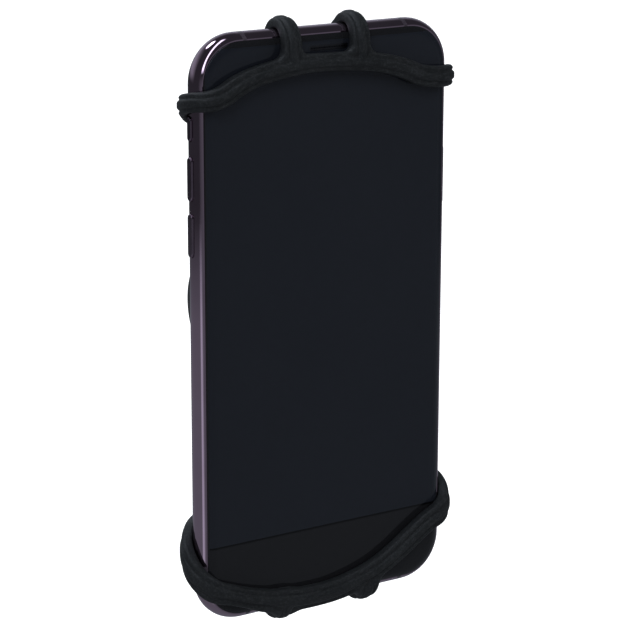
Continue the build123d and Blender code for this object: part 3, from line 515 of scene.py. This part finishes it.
def math_node(tree, operation, first, second=0.5):
    """A maths node on two values or sockets."""
    new = node(tree, "ShaderNodeMath", operation=operation)
    for socket, value in zip(new.inputs, (first, second)):
        if isinstance(value, bpy.types.NodeSocket):
            tree.links.new(value, socket)
        else:
            socket.default_value = value
    return new.outputs[0]


def below(tree, value, edge, softness=0.00004):
    """1 where a value is below an edge and 0 above it, with a soft step."""
    return math_node(tree, "SUBTRACT", 1.0, above(tree, value, edge, softness))


def both(tree, first, second):
    """The product of two masks."""
    return math_node(tree, "MULTIPLY", first, second)


SCREEN_LINE_Z = phone_centre.z - 51.8 * MM
SCREEN_TOP_Z = phone_centre.z + 68.6 * MM
SCREEN_HALF_W = 33.4 * MM
SEAM_HALF_W = 0.22 * MM
SEAM_SOFTNESS = 0.1 * MM
BLACK = (0.0, 0.0, 0.0)


def screen_glass():
    """Black cover glass, a shade bluer over the unlit screen than over its dark border."""
    made, tree, shader = material("screen_glass")
    where = node(tree, "ShaderNodeTexCoord").outputs["Object"]
    axes = node(tree, "ShaderNodeSeparateXYZ", {"Vector": where}).outputs
    across = math_node(tree, "ABSOLUTE", axes["X"])
    wide = below(tree, across, SCREEN_HALF_W)
    up = above(tree, axes["Z"], SCREEN_LINE_Z)
    down = below(tree, axes["Z"], SCREEN_TOP_Z)
    on_screen = both(tree, both(tree, wide, up), down)
    off_line = math_node(tree, "ABSOLUTE", math_node(tree, "SUBTRACT", axes["Z"], SCREEN_LINE_Z))
    seam = both(tree, wide, below(tree, off_line, SEAM_HALF_W, SEAM_SOFTNESS))
    smudge = remap(tree, noise(tree, scale=35, detail=5, roughness=0.6), 0, 1)
    screen = blend_colours(tree, smudge, (0.0078, 0.0092, 0.0130), (0.0086, 0.0100, 0.0140))
    border = (0.0074, 0.0076, 0.0088)
    colour = blend_colours(tree, on_screen, border, screen)
    colour = blend_colours(tree, seam, colour, BLACK)
    tree.links.new(colour, shader.inputs["Base Color"])
    polish = remap(tree, smudge, 0.035, 0.06, from_low=0, from_high=1)
    tree.links.new(polish, shader.inputs["Roughness"])
    shader.inputs["Specular IOR Level"].default_value = 0.3
    return made


def dark_glass(name, dark, light, rough=(0.03, 0.06)):
    """Glossy dark glass with faint smudges."""
    made, tree, shader = material(name)
    smudge = noise(tree, scale=60, detail=5, roughness=0.6)
    tint_and_polish(tree, shader, smudge, dark, light, rough)
    shader.inputs["Coat Weight"].default_value = 0.5
    shader.inputs["Coat Roughness"].default_value = 0.03
    return made


def circuit_board():
    """Green solder mask with a fine pattern of tracks."""
    made, tree, shader = material("circuit_board")
    where = node(tree, "ShaderNodeTexCoord").outputs["Object"]
    inputs = {"Vector": where, "Scale": 700.0}
    cells = node(tree, "ShaderNodeTexVoronoi", inputs, distance="MANHATTAN")
    tracks = remap(tree, cells.outputs["Distance"], 0, 1, from_low=0.2, from_high=0.5)
    colour = blend_colours(tree, tracks, (0.01, 0.07, 0.04), (0.02, 0.14, 0.08))
    tree.links.new(colour, shader.inputs["Base Color"])
    tree.links.new(bump(tree, tracks, distance=0.00003), shader.inputs["Normal"])
    shader.inputs["Roughness"].default_value = 0.45
    return made


def paint(names, made):
    """Gives CAD nodes a material in place of their own."""
    for name in names:
        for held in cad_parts[name].material_slots:
            held.material = made


web = make_web()
web.data.materials.append(silicone())
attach(web, "cradle")
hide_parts("silicone_web")

paint(["phone_pad"], moulded_plastic(
    "pad_foam", (0.012, 0.012, 0.012), (0.025, 0.025, 0.025), grain=1500, rough=(0.8, 0.95)))
paint(["liner_front", "liner_rear"], moulded_plastic(
    "liner_rubber", (0.012, 0.012, 0.013), (0.024, 0.024, 0.025), grain=2200, rough=(0.7, 0.85)))
paint(["clamp_base", "rear_jaw", "rotor", "cradle_plate"], moulded_plastic(
    "black_nylon", (0.014, 0.014, 0.015), (0.026, 0.026, 0.028)))
paint(["thumb_knob"], moulded_plastic(
    "knob_plastic", (0.012, 0.012, 0.013), (0.022, 0.022, 0.024), grain=2600))
paint(["glide_ring", "friction_washer"], moulded_plastic(
    "acetal", (0.70, 0.68, 0.63), (0.80, 0.78, 0.74), grain=1800, rough=(0.3, 0.4)))
paint([
    "clamp_nut", "clamp_screw", "clamp_washer", "hinge_pin",
    "retaining_plate", "center_screw", "rotor_screws",
], metal(
    "zinc_steel", (0.46, 0.47, 0.50), (0.62, 0.63, 0.66), (0.24, 0.36),
    scale=500, brushed=(400, 4000, 400)))
paint(["detent_balls", "detent_springs"], metal(
    "bearing_steel", (0.6, 0.6, 0.62), (0.72, 0.72, 0.74), (0.06, 0.14)))
paint(["phone_frame"], metal(
    "frame_metal", (0.34, 0.25, 0.31), (0.39, 0.29, 0.36), (0.04, 0.07), scale=60))
# Painted shade: the keys and the case screws get a darker copy of the frame's purple metal, so they
# show darker than the frame beside them.
paint([
    "volume_up_button", "volume_down_button", "side_button", "mute_switch", "case_screws",
], metal(
    "key_metal", (0.17, 0.13, 0.165), (0.21, 0.16, 0.20), (0.10, 0.16), scale=200))
paint(["antenna_bands"], moulded_plastic(
    "band_plastic", (0.03, 0.024, 0.032), (0.045, 0.036, 0.047), grain=3000, rough=(0.2, 0.3)))
paint(["front_glass"], screen_glass())
paint(["back_glass", "camera_window"], dark_glass(
    "rear_glass", (0.010, 0.010, 0.011), (0.014, 0.014, 0.016)))
paint(["display_panel"], dark_glass(
    "display_stack", (0.010, 0.012, 0.018), (0.014, 0.016, 0.022), (0.2, 0.3)))
paint(["camera_lenses", "flash_lens"], dark_glass(
    "lens_glass", (0.02, 0.02, 0.05), (0.05, 0.03, 0.08), (0.02, 0.04)))
paint(["earpiece_grille"], metal(
    "grille_metal", (0.05, 0.05, 0.055), (0.08, 0.08, 0.085), (0.3, 0.45), scale=900))
paint(["charge_port"], metal(
    "port_metal", (0.3, 0.3, 0.31), (0.4, 0.4, 0.41), (0.3, 0.4), scale=700))
paint(["battery"], moulded_plastic(
    "cell_wrap", (0.05, 0.05, 0.055), (0.09, 0.09, 0.10), grain=900, rough=(0.3, 0.45)))
paint(["main_board"], circuit_board())


# Stage and light ----------------------------------------------------------------------
FLOOR_DROP = 0.09
FLOOR_R = 8.0
FLOOR_GREY = 0.4
FLOOR_GLOW = 0.95

# The studio that shows in the mount's gloss. An edge is a component of the unit vector towards
# it, X to the right, Y to the back and Z up, or for the rear lamp and the strip its cosine to a
# named direction. Each edge comes with the softness of its step.
STUDIO_DARK = 0.055
STUDIO_TINT = (0.92, 1.0, 1.13, 1)
TABLE_TOP = (-0.235, 0.02)
TABLE_LEVEL = 0.185
FRONT_EDGE = (-0.45, 0.15)
FRONT_CARD_TOP = (0.05, 0.15)
FRONT_CARD_LEVEL = 0.14
LEFT_CARD_Y = -0.36
LEFT_CARD_HALF_W = (0.11, 0.05)
LEFT_CARD_RIGHT = (-0.4, 0.2)
LEFT_CARD_LEVEL = 0.6
REAR_WALL_FRONT = (0.55, 0.25)
REAR_WALL_FOOT = (0.05, 0.1)
REAR_WALL_TOP = (0.6, 0.2)
REAR_WALL_LEVEL = 0.45
REAR_LAMP_TOWARDS = (-0.21, 0.49, 0.85)
REAR_LAMP_COSINE = (0.991, 0.004)
REAR_LAMP_LEVEL = 9.0
STRIP_AZIMUTH = math.radians(57)
STRIP_TOWARDS = (-math.sin(STRIP_AZIMUTH), -math.cos(STRIP_AZIMUTH), 0.0)
STRIP_ACROSS = (-math.cos(STRIP_AZIMUTH), math.sin(STRIP_AZIMUTH), 0.0)
STRIP_HALF_W = (0.07, 0.03)
STRIP_NEAR = (-0.12, 0.05)
STRIP_FOOT = (0.3, 0.08)
STRIP_LEVEL = 5.0


def make_floor():
    """A wide, plain, pale floor below the mount, which glows to the camera only."""
    mesh = bpy.data.meshes.new("floor")
    z = cad_low.z - FLOOR_DROP
    signs = ((-1, -1), (1, -1), (1, 1), (-1, 1))
    corners = [(right * FLOOR_R, far * FLOOR_R, z) for right, far in signs]
    mesh.from_pydata(corners, [], [(0, 1, 2, 3)])
    floor = bpy.data.objects.new("floor", mesh)
    bpy.context.collection.objects.link(floor)
    made, tree, shader = material("floor")
    shader.inputs["Base Color"].default_value = (FLOOR_GREY, FLOOR_GREY, FLOOR_GREY, 1)
    shader.inputs["Roughness"].default_value = 0.9
    shader.inputs["Specular IOR Level"].default_value = 0.0
    shader.inputs["Emission Color"].default_value = (1, 1, 1, 1)
    seen = node(tree, "ShaderNodeLightPath").outputs["Is Camera Ray"]
    glow = math_node(tree, "MULTIPLY", seen, FLOOR_GLOW)
    tree.links.new(glow, shader.inputs["Emission Strength"])
    mesh.materials.append(made)
    floor.visible_glossy = False


def softbox(name, place, size, power):
    """A rectangular area light aimed at the handset's centre."""
    data = bpy.data.lights.new(name, "AREA")
    data.shape = "RECTANGLE"
    data.size, data.size_y = size
    data.energy = power
    lamp = bpy.data.objects.new(name, data)
    lamp.visible_glossy = False
    bpy.context.collection.objects.link(lamp)
    offset = Vector(place)
    lamp.location = phone_centre + offset
    lamp.rotation_mode = "QUATERNION"
    lamp.rotation_quaternion = (-offset).to_track_quat("-Z", "Y")


def make_world():
    """White to the camera. To everything else, a dark studio with a lit table and lamps."""
    world = bpy.data.worlds.new("studio")
    bpy.context.scene.world = world
    world.use_nodes = True
    tree = world.node_tree
    backdrop = tree.nodes["Background"]
    where = node(tree, "ShaderNodeTexCoord").outputs["Generated"]
    axes = node(tree, "ShaderNodeSeparateXYZ", {"Vector": where}).outputs
    x, y, z = axes["X"], axes["Y"], axes["Z"]

    def facing(direction):
        """The cosine of the angle from a direction."""
        inputs = {0: where, 1: direction}
        turned = node(tree, "ShaderNodeVectorMath", inputs, operation="DOT_PRODUCT")
        return turned.outputs["Value"]

    low = below(tree, z, *TABLE_TOP)
    table = both(tree, low, above(tree, y, *FRONT_EDGE))
    off_card = math_node(tree, "ABSOLUTE", math_node(tree, "SUBTRACT", y, LEFT_CARD_Y))
    left_card = both(tree, low, below(tree, off_card, *LEFT_CARD_HALF_W))
    left_card = both(tree, left_card, below(tree, x, *LEFT_CARD_RIGHT))
    front_card = both(tree, below(tree, y, *FRONT_EDGE), below(tree, z, *FRONT_CARD_TOP))
    rear_band = both(tree, above(tree, z, *REAR_WALL_FOOT), below(tree, z, *REAR_WALL_TOP))
    rear_wall = both(tree, above(tree, y, *REAR_WALL_FRONT), rear_band)
    rear_lamp = above(tree, facing(REAR_LAMP_TOWARDS), *REAR_LAMP_COSINE)
    off_strip = math_node(tree, "ABSOLUTE", facing(STRIP_ACROSS))
    strip = below(tree, off_strip, *STRIP_HALF_W)
    strip = both(tree, strip, above(tree, facing(STRIP_TOWARDS), *STRIP_NEAR))
    strip = both(tree, strip, above(tree, z, *STRIP_FOOT))
    glow = STUDIO_DARK
    for part, level in (
        (table, TABLE_LEVEL), (left_card, LEFT_CARD_LEVEL), (front_card, FRONT_CARD_LEVEL),
        (rear_wall, REAR_WALL_LEVEL), (rear_lamp, REAR_LAMP_LEVEL), (strip, STRIP_LEVEL),
    ):
        glow = math_node(tree, "ADD", math_node(tree, "MULTIPLY", part, level), glow)
    tree.links.new(glow, backdrop.inputs["Strength"])
    backdrop.inputs["Color"].default_value = STUDIO_TINT
    plain = node(tree, "ShaderNodeBackground", {"Color": (1, 1, 1, 1), "Strength": 1.0})
    seen = node(tree, "ShaderNodeLightPath").outputs["Is Camera Ray"]
    mixed = node(tree, "ShaderNodeMixShader", {0: seen, 1: backdrop.outputs[0], 2: plain.outputs[0]})
    tree.links.new(mixed.outputs[0], tree.nodes["World Output"].inputs["Surface"])


make_floor()
make_world()
softbox("key", place=(-0.9, -1.2, 1.3), size=(0.9, 0.9), power=18)
softbox("fill", place=(1.4, -0.7, 0.6), size=(0.8, 1.2), power=14)
softbox("rear", place=(-0.6, 1.3, 0.8), size=(0.9, 0.9), power=20)
bpy.context.scene.view_settings.view_transform = "Standard"
